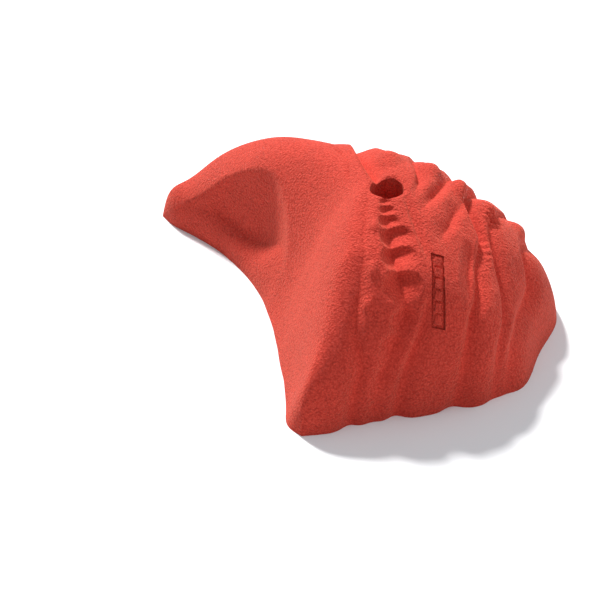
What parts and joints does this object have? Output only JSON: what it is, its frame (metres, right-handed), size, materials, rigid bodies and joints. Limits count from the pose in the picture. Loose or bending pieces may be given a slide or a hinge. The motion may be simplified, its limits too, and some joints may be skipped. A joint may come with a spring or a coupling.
{
  "type": "climbing hold",
  "caption": "Crescent-shaped resin jug hold for an indoor climbing wall, with a ribbed back flank, a bolt well and moulded-in steel seat washers.",
  "frame": {"origin": "centre of the bounding box on the flat back face, which is the face that lies on the wall", "axes": "+Z out of the wall, +X from the finger scoop and horns towards the ribbed flank, +Y from the lower horn to the upper horn"},
  "size_m": [0.2364, 0.2214, 0.0917],
  "materials": {
    "cast_resin": "sand-textured cast polyurethane resin, red-orange, unpainted",
    "seat_steel": "zinc-plated pressed steel"
  },
  "bodies": {
    "root": {"hold_body": "cast_resin", "bolt_seat_washer": "seat_steel", "screw_seat_washer": "seat_steel"}
  },
  "joints": []
}
